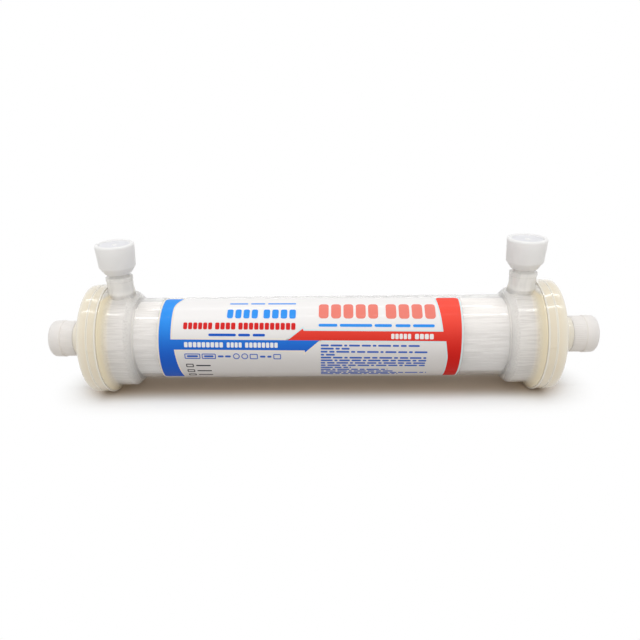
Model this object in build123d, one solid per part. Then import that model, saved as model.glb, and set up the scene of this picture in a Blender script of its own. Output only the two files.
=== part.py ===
from build123d import *
import math
import os

# Hollow-fibre dialyser with its four shipping caps. Millimetres.
# +X runs along the tube from the dialysate-inlet end to the dialysate-outlet end, the side
# ports point up +Z, and the label faces -Y. The origin lies under the middle of the part, on
# the plane that its two header rims rest on. Each end is drawn on the +X side and mirrored.

# Tube and flared ends of the housing
TUBE_R = 22.2
TUBE_WALL = 1.9
CONE_START_X = 97.5
CONE_END_X = 102.0
CONE_FILLET = 1.5
CONE_INSIDE_SHIFT = 0.4
FLARE_R = 26.2
FLARE_WALL = 2.0
FLANGE_START_X = 111.4
FLANGE_FILLET = 2.2
FLANGE_R = 29.2
FLANGE_FACE_X = 114.8
FLANGE_LAND = 0.7
FLANGE_EDGE = 0.8
SPIGOT_R = 27.4
HOUSING_END_X = 120.0
COLLAR_START_X = 98.7
COLLAR_END_X = 103.2
COLLAR_WALL = 1.3

# Side ports, for a snap coupling
PORT_X = 107.4
PORT_ROOT_Z = 21.5
PORT_ROOT_R = 8.3
PORT_BASE_R = 7.7
PORT_BASE_Z = 25.0
PORT_NECK_R = 6.95
PORT_NECK_Z = 29.5
PORT_NECK_FILLET = 3.0
BEAD_R = 7.15
BEAD_Z = 34.2
BEAD_RAMP = 0.2
BEAD_TOP_Z = 36.0
GROOVE_R = 5.75
GROOVE_BOTTOM_Z = 36.9
GROOVE_TOP_Z = 39.6
TIP_R = 6.3
TIP_CHAMFER = 0.8
TIP_LENGTH = 9.0
PORT_BORE_R = 4.0
PORT_BORE_ROOT_Z = 21.2

# Fibre bundle and the resin discs that hold its ends
BUNDLE_R = 19.9
BUNDLE_RIDGES = 60
RIDGE_DEPTH = 0.35
BUNDLE_END_R = 21.6
RESIN_START_X = 110.3
RESIN_END_X = 119.7
RESIN_R = FLARE_R - FLARE_WALL
RESIN_INNER_R = 19.6

# Screw-on header caps
HEADER_LIP_X = 114.9
HEADER_LIP_R = 30.0
HEADER_LIP_WIDTH = 0.8
HEADER_BAND_R = 29.55
HEADER_STEP_X = 119.6
HEADER_STEP_R = 29.9
HEADER_RIM_X = 124.8
HEADER_RIM_TAPER = 0.1
HEADER_EDGE_RADIUS = 1.8
HEADER_FACE_X = 125.7
HEADER_FACE_R = 26.5
HEADER_FACE_FILLET = 1.0
SKIRT_BORE_R = 27.5
SEAT_X = 121.5
SEAT_LIP_R = 24.9
SEAT_LIP_X = 120.4
CHAMBER_R = 23.2
CHAMBER_X = 122.6
CHAMBER_FILLET = 1.5
DOME_END_X = 131.6
DOME_END_R = 10.7
DOME_FILLET = 2.0
MARK_COUNT = 2
MARK_ANGLE = 10.0
MARK_WIDTH = 0.7
MARK_RISE = 0.35

# Blood port at the middle of a header cap
BOSS_R = 9.7
BOSS_START_X = 132.8
BOSS_FILLET = 0.8
BOSS_END_X = 135.5
BARREL_R = 8.4
BARREL_EDGE = 0.4
BARREL_END_X = 146.8
BARREL_BORE_R = 6.2
SOCKET_BOTTOM_X = 136.4
NOZZLE_R = 3.15
NOZZLE_LENGTH = 9.4
NOZZLE_CHAMFER = 0.4
BLOOD_BORE_R = 2.1
BLOOD_BORE_START_X = 131.0
BLOOD_BORE_FILLET = 1.0

# Seal ring between housing end and header cap
SEAL_R = 26.15
SEAL_SECTION_R = 0.72

# Blood port cap
BLOOD_CAP_GAP = 0.15
BLOOD_CAP_R = 9.75
BLOOD_CAP_BEAD_R = 10.25
BLOOD_CAP_BEAD_X = 142.4
BLOOD_CAP_BEAD_RAMP = 0.5
BLOOD_CAP_END_TAPER = 0.2
BLOOD_CAP_END_X = 149.5
BLOOD_CAP_CEILING_X = 147.4
BLOOD_CAP_EDGE = 2.2
BLOOD_CAP_RIBS = 30
RIB_RISE = 0.12
RIB_ROOT = 0.5
RIB_WIDTH = 0.55
RIB_START_X = 136.3
RIB_END_X = 142.0

# Side port cap
PORT_CAP_BOTTOM_Z = 38.2
PORT_CAP_BOTTOM_R = 6.95
PORT_CAP_MOUTH_R = 6.5
PORT_CAP_MOUTH_Z = 39.9
PORT_CAP_BORE_R = 7.15
PORT_CAP_BORE_Z = 40.4
PORT_CAP_SHOULDER_Z = 41.9
PORT_CAP_SHOULDER_R = 9.5
PORT_CAP_SHOULDER_FILLET = 0.6
PORT_CAP_TOP_Z = 54.0
PORT_CAP_TOP_R = 10.2
PORT_CAP_TOP_FILLET = 0.9
PORT_CAP_RECESS_R = 8.3
PORT_CAP_RECESS_TAPER = 0.3
PORT_CAP_RECESS = 0.9
PORT_CAP_CEILING_Z = 51.0
GATE_R = 1.5
GATE_TAPER = 0.4
GATE_RISE = 0.35

# Label, a thin film on the tube
LABEL_THICKNESS = 0.12
LABEL_X = (-85.6, 74.9)
LABEL_ANGLES = (-80.0, 93.0)

AXIS_Z = HEADER_LIP_R
GAP = 0.05
PAST = 1.0


def turned(points):
    """Face between a closed outline of (along, radius, corner radius) points and the X axis."""
    places = [(x, r) for x, r, _ in points]
    corners = [c for _, _, c in points]
    return make_face(FilletPolyline(*places, radius=corners, close=True))


def spun_x(points):
    """Solid turned about the X axis from an outline of (x, radius, corner radius) points."""
    return revolve(turned(points), Axis.X)


def spun_z(points):
    """Solid turned about the Z axis from an outline of (z, radius, corner radius) points."""
    return Rot(0, -90, 0) * revolve(turned(points), Axis.X)


def both_ends(solid):
    """The solid and its mirror image at the other end of the tube."""
    return solid, mirror(solid, Plane.YZ)


def nipple():
    """Side port: necked post with a snap bead and groove, drawn about Z through the origin."""
    tip_z = GROOVE_TOP_Z + TIP_CHAMFER
    top_z = tip_z + TIP_LENGTH + TIP_CHAMFER
    return spun_z(
        [
            (PORT_ROOT_Z, 0, 0),
            (PORT_ROOT_Z, PORT_ROOT_R, 0),
            (PORT_BASE_Z, PORT_BASE_R, 0),
            (PORT_NECK_Z, PORT_NECK_R, PORT_NECK_FILLET),
            (BEAD_Z - BEAD_RAMP, PORT_NECK_R, 0),
            (BEAD_Z, BEAD_R, 0),
            (BEAD_TOP_Z, BEAD_R, 0),
            (GROOVE_BOTTOM_Z, GROOVE_R, 0),
            (GROOVE_TOP_Z, GROOVE_R, 0),
            (tip_z, TIP_R, 0),
            (tip_z + TIP_LENGTH, TIP_R, 0),
            (top_z, TIP_R - TIP_CHAMFER, 0),
            (top_z, 0, 0),
        ]
    )


def port_bore():
    """The way through the side port into the ring-shaped space inside the flared end."""
    top_z = GROOVE_TOP_Z + 2 * TIP_CHAMFER + TIP_LENGTH + PAST
    length = top_z - PORT_BORE_ROOT_Z
    return Pos(0, 0, PORT_BORE_ROOT_Z + length / 2) * Cylinder(PORT_BORE_R, length)


def housing():
    """Clear moulding: tube, flared ends, end flanges, inner collars and side ports."""
    tube_bore = TUBE_R - TUBE_WALL
    collar_r = tube_bore + COLLAR_WALL
    body = spun_x(
        [
            (0, 0, 0),
            (0, TUBE_R, 0),
            (CONE_START_X, TUBE_R, CONE_FILLET),
            (CONE_END_X, FLARE_R, CONE_FILLET),
            (FLANGE_START_X, FLARE_R, FLANGE_FILLET),
            (FLANGE_FACE_X - FLANGE_LAND, FLANGE_R, FLANGE_EDGE),
            (FLANGE_FACE_X, FLANGE_R, 0),
            (FLANGE_FACE_X, SPIGOT_R, 0),
            (HOUSING_END_X, SPIGOT_R, 0),
            (HOUSING_END_X, 0, 0),
        ]
    )
    hollow = spun_x(
        [
            (0, 0, 0),
            (0, tube_bore, 0),
            (COLLAR_END_X, tube_bore, 0),
            (COLLAR_END_X, collar_r, 0),
            (COLLAR_START_X, collar_r, 0),
            (CONE_END_X + CONE_INSIDE_SHIFT, RESIN_R, 0),
            (HOUSING_END_X + PAST, RESIN_R, 0),
            (HOUSING_END_X + PAST, 0, 0),
        ]
    )
    end = body + Pos(PORT_X, 0, 0) * nipple() - hollow - Pos(PORT_X, 0, 0) * port_bore()
    right, left = both_ends(end)
    return right + left


def ridged_section(radius):
    """Round section whose edge is a row of shallow rounded ridges."""
    points = []
    for i in range(BUNDLE_RIDGES):
        turn = 2 * math.pi * i / BUNDLE_RIDGES
        half = math.pi / BUNDLE_RIDGES
        points.append(((radius - RIDGE_DEPTH) * math.cos(turn), (radius - RIDGE_DEPTH) * math.sin(turn)))
        points.append((radius * math.cos(turn + half), radius * math.sin(turn + half)))
    return Polyline(*points, close=True)


def fibre_bundle():
    """Packed fibres as one ridged body, spreading where the resin holds their ends."""
    stations = [
        (-RESIN_END_X, BUNDLE_END_R),
        (-RESIN_START_X, BUNDLE_END_R),
        (-COLLAR_END_X, BUNDLE_R),
        (COLLAR_END_X, BUNDLE_R),
        (RESIN_START_X, BUNDLE_END_R),
        (RESIN_END_X, BUNDLE_END_R),
    ]
    sections = [Plane.YZ.offset(x) * make_face(ridged_section(r)) for x, r in stations]
    return loft(sections, ruled=True)


def resin_disc(bundle):
    """Cast ring that seals the housing end around the fibres."""
    disc = spun_x(
        [
            (RESIN_START_X, RESIN_INNER_R, 0),
            (RESIN_START_X, RESIN_R - GAP, 0),
            (RESIN_END_X, RESIN_R - GAP, 0),
            (RESIN_END_X, RESIN_INNER_R, 0),
        ]
    )
    return disc - bundle


def header():
    """End cap: stepped skirt over the housing end, shallow dome and blood port."""
    nozzle_end_x = SOCKET_BOTTOM_X + NOZZLE_LENGTH
    body = spun_x(
        [
            (HEADER_LIP_X, SKIRT_BORE_R, 0),
            (HEADER_LIP_X, HEADER_LIP_R, 0),
            (HEADER_LIP_X + HEADER_LIP_WIDTH, HEADER_LIP_R, 0),
            (HEADER_LIP_X + HEADER_LIP_WIDTH, HEADER_BAND_R, 0),
            (HEADER_STEP_X, HEADER_BAND_R, 0),
            (HEADER_STEP_X, HEADER_STEP_R, 0),
            (HEADER_RIM_X, HEADER_STEP_R - HEADER_RIM_TAPER, HEADER_EDGE_RADIUS),
            (HEADER_FACE_X, HEADER_FACE_R, HEADER_FACE_FILLET),
            (DOME_END_X, DOME_END_R, DOME_FILLET),
            (BOSS_START_X, BOSS_R, BOSS_FILLET),
            (BOSS_END_X, BOSS_R, 0),
            (BOSS_END_X, BARREL_R, 0),
            (BARREL_END_X, BARREL_R, BARREL_EDGE),
            (BARREL_END_X, BARREL_BORE_R, 0),
            (SOCKET_BOTTOM_X, BARREL_BORE_R, 0),
            (SOCKET_BOTTOM_X, NOZZLE_R, 0),
            (nozzle_end_x, NOZZLE_R, 0),
            (nozzle_end_x + NOZZLE_CHAMFER, NOZZLE_R - NOZZLE_CHAMFER, 0),
            (nozzle_end_x + NOZZLE_CHAMFER, BLOOD_BORE_R, 0),
            (BLOOD_BORE_START_X, BLOOD_BORE_R, BLOOD_BORE_FILLET),
            (CHAMBER_X, CHAMBER_R, CHAMBER_FILLET),
            (SEAT_LIP_X, CHAMBER_R, 0),
            (SEAT_LIP_X, SEAT_LIP_R, 0),
            (SEAT_X, SEAT_LIP_R, 0),
            (SEAT_X, SKIRT_BORE_R, 0),
        ]
    )
    for i in range(MARK_COUNT):
        body += skirt_mark(180 - MARK_ANGLE + i * 360 / MARK_COUNT)
    return body


def skirt_mark(angle):
    """Small raised mark across the first band of the skirt, at an angle about X from +Y."""
    start = HEADER_LIP_X + HEADER_LIP_WIDTH
    length = HEADER_STEP_X - start
    inner_r = (SKIRT_BORE_R + HEADER_BAND_R) / 2
    height = HEADER_BAND_R + MARK_RISE - inner_r
    place = Pos(start + length / 2, inner_r + height / 2, 0)
    return Rot(angle, 0, 0) * place * Box(length, height, MARK_WIDTH)


def seal_ring():
    """Round rubber ring between the housing end and the header's seat."""
    middle_x = (HOUSING_END_X + SEAT_X) / 2
    section = Pos(middle_x, SEAL_R) * Circle(SEAL_SECTION_R)
    return revolve(section, Axis.X)


def blood_port_cap():
    """Push-on cap: ribbed skirt, wider beaded end with a rounded edge."""
    bore_r = BARREL_R + BLOOD_CAP_GAP
    cap = spun_x(
        [
            (BOSS_END_X + GAP, bore_r, 0),
            (BOSS_END_X + GAP, BLOOD_CAP_R, 0),
            (BLOOD_CAP_BEAD_X, BLOOD_CAP_R, 0),
            (BLOOD_CAP_BEAD_X + BLOOD_CAP_BEAD_RAMP, BLOOD_CAP_BEAD_R, 0),
            (BLOOD_CAP_END_X, BLOOD_CAP_BEAD_R - BLOOD_CAP_END_TAPER, BLOOD_CAP_EDGE),
            (BLOOD_CAP_END_X, 0, 0),
            (BLOOD_CAP_CEILING_X, 0, 0),
            (BLOOD_CAP_CEILING_X, bore_r, 0),
        ]
    )
    rib = Box(RIB_END_X - RIB_START_X, RIB_RISE + RIB_ROOT, RIB_WIDTH)
    place = Pos((RIB_START_X + RIB_END_X) / 2, BLOOD_CAP_R + (RIB_RISE - RIB_ROOT) / 2, 0)
    ribs = [Rot(i * 360 / BLOOD_CAP_RIBS, 0, 0) * place * rib for i in range(BLOOD_CAP_RIBS)]
    return cap + ribs


def port_cap():
    """Push-on cap for a side port: tapered wall, coned underside and a sunk top."""
    recess_z = PORT_CAP_TOP_Z - PORT_CAP_RECESS
    cap = spun_z(
        [
            (PORT_CAP_BOTTOM_Z, PORT_CAP_MOUTH_R, 0),
            (PORT_CAP_BOTTOM_Z, PORT_CAP_BOTTOM_R, 0),
            (PORT_CAP_SHOULDER_Z, PORT_CAP_SHOULDER_R, PORT_CAP_SHOULDER_FILLET),
            (PORT_CAP_TOP_Z, PORT_CAP_TOP_R, PORT_CAP_TOP_FILLET),
            (PORT_CAP_TOP_Z, PORT_CAP_RECESS_R, 0),
            (recess_z, PORT_CAP_RECESS_R - PORT_CAP_RECESS_TAPER, 0),
            (recess_z, GATE_R, 0),
            (recess_z + GATE_RISE, GATE_R - GATE_TAPER, 0),
            (recess_z + GATE_RISE, 0, 0),
            (PORT_CAP_CEILING_Z, 0, 0),
            (PORT_CAP_CEILING_Z, PORT_CAP_BORE_R, 0),
            (PORT_CAP_BORE_Z, PORT_CAP_BORE_R, 0),
            (PORT_CAP_MOUTH_Z, PORT_CAP_MOUTH_R, 0),
        ]
    )
    return Pos(PORT_X, 0, 0) * cap


def label():
    """Thin film wrapped round the front of the tube."""
    outer = TUBE_R + LABEL_THICKNESS
    low, high = LABEL_ANGLES
    length = LABEL_X[1] - LABEL_X[0]
    middle = (LABEL_X[0] + LABEL_X[1]) / 2
    sleeve = Cylinder(outer, length) - Cylinder(TUBE_R, length + 2 * PAST)
    sleeve = Pos(middle, 0, 0) * Rot(0, 90, 0) * sleeve
    reach = 3 * TUBE_R
    edges = [(-reach * math.cos(math.radians(a)), reach * math.sin(math.radians(a))) for a in (low, high)]
    wedge = Polyline((0, 0), edges[0], (-reach, edges[0][1]), (-reach, edges[1][1]), edges[1], close=True)
    sector = Pos(LABEL_X[0] - PAST, 0, 0) * extrude(Plane.YZ * make_face(wedge), length + 2 * PAST)
    return sleeve & sector


def write(node, solid):
    """Writes one node, lifted so that the header rims stand on Z = 0."""
    placed = Pos(0, 0, AXIS_Z) * solid
    placed.label = node
    export_step(placed, os.path.join("parts", node + ".step"))


def main():
    os.makedirs("parts", exist_ok=True)
    bundle = fibre_bundle()
    write("housing", housing())
    write("fibre_bundle", bundle)
    write("label", label())
    pairs = {
        "resin_disc": resin_disc(bundle),
        "header": header(),
        "seal_ring": seal_ring(),
        "blood_port_cap": blood_port_cap(),
        "dialysate_port_cap": port_cap(),
    }
    for name, solid in pairs.items():
        right, left = both_ends(solid)
        write(name + "_right", right)
        write(name + "_left", left)


main()
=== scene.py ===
import math

import bmesh
import bpy
from bpy.props import FloatProperty, FloatVectorProperty, IntProperty, PointerProperty
from mathutils import Matrix, Vector, noise


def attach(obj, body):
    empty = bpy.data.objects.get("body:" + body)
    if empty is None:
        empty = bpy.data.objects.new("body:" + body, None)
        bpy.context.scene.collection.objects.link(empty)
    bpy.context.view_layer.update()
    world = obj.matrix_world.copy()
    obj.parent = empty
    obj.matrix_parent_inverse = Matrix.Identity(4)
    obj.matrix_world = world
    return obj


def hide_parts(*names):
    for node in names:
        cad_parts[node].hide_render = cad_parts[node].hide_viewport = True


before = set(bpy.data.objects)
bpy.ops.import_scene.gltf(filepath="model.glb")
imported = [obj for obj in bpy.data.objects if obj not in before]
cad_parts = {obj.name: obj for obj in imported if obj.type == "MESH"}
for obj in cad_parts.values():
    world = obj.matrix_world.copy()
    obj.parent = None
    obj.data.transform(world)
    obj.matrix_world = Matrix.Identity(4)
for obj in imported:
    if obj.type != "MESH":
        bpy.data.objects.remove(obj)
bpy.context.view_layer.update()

# Hollow-fibre dialyser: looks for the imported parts, as an add-on whose operators build each
# piece. Metres. +X runs along the tube, +Z along the side ports, and the label faces -Y.

bl_info = {
    "name": "Hollow-fibre dialyser",
    "version": (1, 0, 0),
    "blender": (4, 5, 0),
    "location": "View3D > Sidebar > Dialyser",
    "description": "Builds the clear housing, fibres, resin, headers, caps and printed label of a dialyser",
    "category": "Object",
}

MM = 0.001
BODY = "dialyser"
SIDES = {"right": 1, "left": -1}

# The wrapped label is cut at every STRIP_DEGREES round the tube.
STRIP_DEGREES = 2.5

# Corner roundings of bars and of blocks, as parts of their height.
ROUND_END = 0.49
BLOCK_END = 0.18

# How glossy ink is, and how late an arrow's lighter colour comes in towards its top, over a darker foot that
# is partly painted shade.
INK_GLOSS = 0.08
ARROW_CURVE = 1.8

# A mesh edge that turns by more than this is shaded sharp.
SHARP_EDGE = math.radians(32)
SHARP_STRAND = math.radians(60)


def length(name, description, value_mm):
    """A size in millimetres as a length property."""
    return FloatProperty(name=name, description=description, default=value_mm * MM, unit="LENGTH",
                         subtype="DISTANCE")


def angle(name, description, degrees):
    """An angle in degrees as an angle property."""
    return FloatProperty(name=name, description=description, default=math.radians(degrees), subtype="ANGLE")


def colour(name, description, value):
    """A colour property, in linear values."""
    return FloatVectorProperty(name=name, description=description, default=value, size=3, min=0, max=1,
                               subtype="COLOR")


def factor(name, description, value):
    """A property from 0 to 1."""
    return FloatProperty(name=name, description=description, default=value, min=0, max=1, subtype="FACTOR")


def power(name, description, watts):
    """A lamp's power as a property."""
    return FloatProperty(name=name, description=description, default=watts, unit="POWER")


def number(name, description, value):
    """A plain number property."""
    return FloatProperty(name=name, description=description, default=value)


def count(name, description, value):
    """A whole number property."""
    return IntProperty(name=name, description=description, default=value, min=3)


class TubeSizes(bpy.types.PropertyGroup):
    tube_r: length("Tube radius", "Outside radius of the straight tube", 22.2)
    tube_wall: length("Tube wall", "Wall of the straight tube", 1.9)
    cone_start_x: length("Cone start", "Where the straight tube begins to flare", 97.5)
    cone_end_x: length("Cone end", "Where the flare reaches its full radius", 102.0)
    flare_r: length("Flare radius", "Outside radius of the flared end", 26.2)
    flare_wall: length("Flare wall", "Wall of the flared end", 2.0)
    flange_start_x: length("Flange start", "Where the flared end curves out to its flange", 111.4)
    flange_r: length("Flange radius", "Radius of the end flange", 29.2)
    flange_face_x: length("Flange face", "Face of the flange that the header meets", 114.8)
    spigot_r: length("Spigot radius", "Outside radius of the housing end inside the header", 27.4)
    end_x: length("Housing end", "Where the housing ends inside the header", 120.0)
    collar_end_x: length("Collar end", "Where the inner collar ends", 103.2)
    collar_wall: length("Collar wall", "Wall of the inner collar", 1.3)
    steps: count("Steps round", "Facets round the housing", 144)


class PortSizes(bpy.types.PropertyGroup):
    port_x: length("Port place", "Distance of a side port from the middle", 107.4)
    root_z: length("Root height", "Where a side port begins inside the wall", 21.5)
    base_r: length("Base radius", "Radius where the port leaves the flared end", 7.7)
    base_z: length("Base height", "Height where the port leaves the flared end", 25.0)
    neck_r: length("Neck radius", "Radius of the port's neck", 6.95)
    neck_z: length("Neck height", "Height where the straight neck begins", 29.5)
    bead_r: length("Bead radius", "Radius of the snap bead", 7.15)
    bead_z: length("Bead height", "Underside of the snap bead", 34.2)
    bead_top_z: length("Bead top", "Top edge of the snap bead", 36.0)
    groove_r: length("Groove radius", "Radius of the coupling groove", 5.75)
    groove_low_z: length("Groove bottom", "Lower edge of the coupling groove", 36.9)
    groove_high_z: length("Groove top", "Upper edge of the coupling groove", 39.6)
    tip_r: length("Tip radius", "Radius of the sealing tip", 6.3)
    tip_chamfer: length("Tip chamfer", "Chamfer at both ends of the tip", 0.8)
    tip_length: length("Tip length", "Straight length of the tip", 9.0)
    bore_r: length("Bore radius", "Radius of the way through the port", 4.0)
    steps: count("Steps round", "Facets round a side port", 72)


class HeaderSizes(bpy.types.PropertyGroup):
    lip_x: length("Lip place", "Open edge of the header's skirt", 114.9)
    lip_r: length("Lip radius", "Radius of the narrow lip at the skirt's edge", 30.0)
    lip_width: length("Lip width", "Width of the narrow lip", 0.8)
    band_r: length("Band radius", "Radius of the first band", 29.55)
    step_x: length("Step place", "Ring step between the two bands", 119.6)
    step_r: length("Step radius", "Radius of the second band", 29.9)
    rim_x: length("Rim place", "Outer edge of the header", 124.8)
    edge_r: length("Edge rounding", "Rounding of the outer edge", 1.8)
    face_r: length("Face radius", "Where the domed face begins", 26.5)
    skirt_bore_r: length("Skirt bore", "Inside radius of the skirt", 27.5)
    seat_x: length("Seat place", "Face that presses the seal ring", 121.5)
    seat_lip_r: length("Seat lip radius", "Outside radius of the lip inside the seal ring", 24.9)
    seat_lip_x: length("Seat lip end", "End of the lip inside the seal ring", 120.4)
    chamber_r: length("Chamber radius", "Radius of the blood chamber", 23.2)
    dome_end_x: length("Dome end", "Where the dome meets the blood port", 131.6)
    boss_r: length("Boss radius", "Radius of the port's shoulder", 9.7)
    boss_end_x: length("Boss end", "Face of the port's shoulder", 135.5)
    barrel_r: length("Barrel radius", "Outside radius of the blood port barrel", 8.4)
    barrel_end_x: length("Barrel end", "Open end of the barrel", 146.8)
    barrel_bore_r: length("Barrel bore", "Inside radius of the barrel", 6.2)
    socket_x: length("Socket bottom", "Bottom of the space inside the barrel", 136.4)
    nozzle_r: length("Nozzle radius", "Radius of the nozzle inside the barrel", 3.15)
    nozzle_length: length("Nozzle length", "Length of the nozzle", 9.4)
    blood_bore_r: length("Blood bore", "Radius of the way through the nozzle", 2.1)
    tab_width: length("Mark width", "Width of the raised mark across the first band", 0.7)
    tab_rise: length("Mark rise", "Height of the raised mark", 0.35)
    tab_depth: length("Mark depth", "Thickness of the raised mark, most of it inside the band", 1)
    tab_edge: length("Mark edge", "Rounding of the raised mark's edges", 0.15)
    tab_angle: angle("Mark angle", "How far above level the raised mark sits, round the skirt", 10)
    steps: count("Steps round", "Facets round a header", 144)


class CapSizes(bpy.types.PropertyGroup):
    blood_gap: length("Blood cap gap", "Gap between barrel and cap", 0.15)
    blood_seat_gap: length("Blood cap seat gap", "Gap between the port's shoulder and the cap", 0.05)
    blood_r: length("Blood cap radius", "Radius of the blood port cap", 9.75)
    blood_bead_r: length("Blood cap end radius", "Radius of the wider closed end", 10.25)
    blood_bead_x: length("Blood cap end start", "Where the wider end begins", 142.4)
    blood_end_x: length("Blood cap end", "Closed end of the cap", 149.5)
    blood_ceiling_x: length("Blood cap inside end", "Inside of the closed end", 147.4)
    blood_edge: length("Blood cap edge", "Rounding of the closed end", 2.2)
    rib_count: count("Blood cap ribs", "Fine grip ribs round the cap", 60)
    rib_rise: length("Rib rise", "Height of a grip rib", 0.12)
    rib_start: length("Rib start", "How far from the open edge the ribs begin", 0.5)
    rib_end: length("Rib end", "How far before the wider end the ribs stop", 0.2)
    port_bottom_z: length("Port cap bottom", "Lower edge of a side port cap", 38.2)
    port_bottom_r: length("Port cap bottom radius", "Outside radius at the lower edge", 6.95)
    port_mouth_r: length("Port cap mouth", "Inside radius at the lower edge", 6.5)
    port_mouth_z: length("Port cap mouth height", "Where the narrow mouth ends", 39.9)
    port_bore_r: length("Port cap bore", "Inside radius over the tip", 7.15)
    port_shoulder_z: length("Port cap shoulder", "Where the coned underside ends", 41.9)
    port_shoulder_r: length("Port cap shoulder radius", "Radius at the shoulder", 9.5)
    port_top_z: length("Port cap top", "Height of the rim", 54.0)
    port_top_r: length("Port cap top radius", "Radius at the rim", 10.2)
    port_recess_r: length("Recess radius", "Radius of the sunk top", 8.3)
    port_recess: length("Recess depth", "Depth of the sunk top", 0.9)
    port_ceiling_z: length("Port cap inside top", "Inside of the closed top", 51.0)
    gate_r: length("Gate radius", "Radius of the mould gate spot", 1.5)
    gate_rise: length("Gate rise", "Height of the mould gate spot", 0.35)
    steps: count("Steps round", "Facets round a cap", 96)


class BundleSizes(bpy.types.PropertyGroup):
    bundle_r: length("Bundle radius", "Radius of the packed fibres in the tube", 19.9)
    bundle_end_r: length("Bundle end radius", "Radius where the resin holds the fibres", 21.6)
    resin_start_x: length("Resin start", "Inner face of the cast resin", 110.3)
    resin_end_x: length("Resin end", "Outer face of the cast resin", 119.7)
    strand_rise: length("Strand rise", "Height of the ridges that the strands make", 0.16)
    waviness: length("Waviness", "How far strands wander round the bundle", 0.9)
    around: count("Columns round", "Columns of the bundle's mesh round the tube", 420)
    along: count("Rows along", "Rows of the bundle's mesh along the tube", 150)
    wetting: length("Resin wetting", "How far the resin overlaps the wall, so that no air gap shows", 0.1)
    creep: length("Resin creep", "How far the cream tone of the wall begins before the resin", 1.2)
    wet_margin: length("Resin margin", "How far before the resin's outer face the cream tone is full", 6)
    seal_r: length("Seal radius", "Radius of the seal ring's middle", 26.15)
    seal_section_r: length("Seal section", "Radius of the seal ring's section", 0.72)
    seal_steps: count("Seal steps", "Facets round the seal ring's section", 16)


class LabelSizes(bpy.types.PropertyGroup):
    thickness: length("Film thickness", "Thickness of the label film", 0.12)
    left_x: length("Left edge", "Left edge of the label", -84.9)
    right_x: length("Right edge", "Right edge of the label", 74.1)
    low: length("Lower edge", "Lower edge, below the line where the arrows meet", -37.6)
    high: length("Upper edge", "Upper edge, above the line where the arrows meet", 28.3)
    corner: length("Corner", "Rounding of the label's corners", 2.6)
    turn: angle("Turn", "How far the label is stuck on askew", -0.9)
    meeting: angle("Meeting line", "Where the two arrows meet, as an angle about the tube", 17.6)
    ink: length("Ink", "Thickness of each printed layer", 0.03)
    margin: length("Outline", "Width of the pale outline of each arrow", 0.75)
    arrow_top: length("Arrow top", "Upper end of both arrows' uprights", 27.4)
    arrow_low: length("Arrow bottom", "Lower end of both arrows' uprights", -27.0)
    red_bar: length("Red bar", "Upper edge of the red bar", 4.9)
    blue_bar: length("Blue bar", "Lower edge of the blue bar", -5.4)
    barb: length("Barb", "How far an arrowhead's barb stands out from its bar", 1.15)


class Finishes(bpy.types.PropertyGroup):
    clear: colour("Clear plastic", "Tint of the clear housing", (0.98, 0.975, 0.965))
    haze: colour("Haze", "Milky tone of the flared ends and side ports", (0.94, 0.915, 0.875))
    end_haze: factor("End haze", "How milky the flared ends are", 0.45)
    post_haze: factor("Port haze", "How milky the side ports are", 0.9)
    wet_haze: factor("Wet haze", "How much the resin shows through the wall", 0.95)
    fibre: colour("Fibre", "Colour of the fibres", (0.95, 0.92, 0.90))
    # The gap colour is painted shade between the strands.
    strand_gap_shade: colour("Fibre shade", "Colour between the strands", (0.73, 0.695, 0.67))
    resin: colour("Resin", "Colour of the cast resin", (0.92, 0.80, 0.56))
    header: colour("Header", "Colour of the header moulding", (0.85, 0.755, 0.585))
    # This pale colour is painted highlight on the header's lip and step, and also tints its outer band and
    # the resin's clouds.
    header_highlight_and_pale: colour("Header edges", "Colour where the header is thin", (0.90, 0.85, 0.74))
    milky: colour("Side port cap", "Colour of the milky side port caps", (0.92, 0.91, 0.895))
    # The sunk tops' grey is painted shade in the recess.
    sunk: colour("Sunk top", "Colour of the side port caps' sunk tops", (0.81, 0.81, 0.84))
    rosy: colour("Blood port cap", "Colour of the milky blood port caps", (0.82, 0.79, 0.765))
    seal: colour("Seal", "Colour of the seal ring", (0.75, 0.74, 0.71))
    film: colour("Label film", "Colour of the bare label", (0.93, 0.91, 0.90))
    # The lower film colour is painted shade towards the label's foot.
    film_painted_shade: colour("Lower label film", "Colour of the label's lower part", (0.71, 0.69, 0.68))
    # The arrows' foot colours are partly painted shade.
    blue: colour("Blue ink", "Colour at the foot of the blue arrow", (0.010, 0.11, 0.60))
    blue_light: colour("Light blue ink", "Colour at the top of the blue arrow", (0.035, 0.32, 0.95))
    red: colour("Red ink", "Colour at the foot of the red arrow", (0.66, 0.010, 0.006))
    red_light: colour("Light red ink", "Colour at the top of the red arrow", (0.98, 0.09, 0.06))
    cream: colour("Blue outline", "Pale outline of the blue arrow", (0.93, 0.84, 0.72))
    cyan: colour("Red outline", "Pale outline of the red arrow", (0.72, 0.87, 0.90))
    rose: colour("Title ink", "Colour of the broad blocks over the red arrow", (0.90, 0.24, 0.19))
    crimson: colour("Subtitle ink", "Colour of the bars over the blue arrow", (0.72, 0.02, 0.02))
    navy: colour("Small print", "Colour of the fine blue lines", (0.06, 0.15, 0.56))
    dark: colour("Dark print", "Colour of the small dark marks", (0.05, 0.05, 0.06))
    white: colour("White print", "Colour of the bars printed on the arrows", (0.93, 0.93, 0.92))


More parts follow.
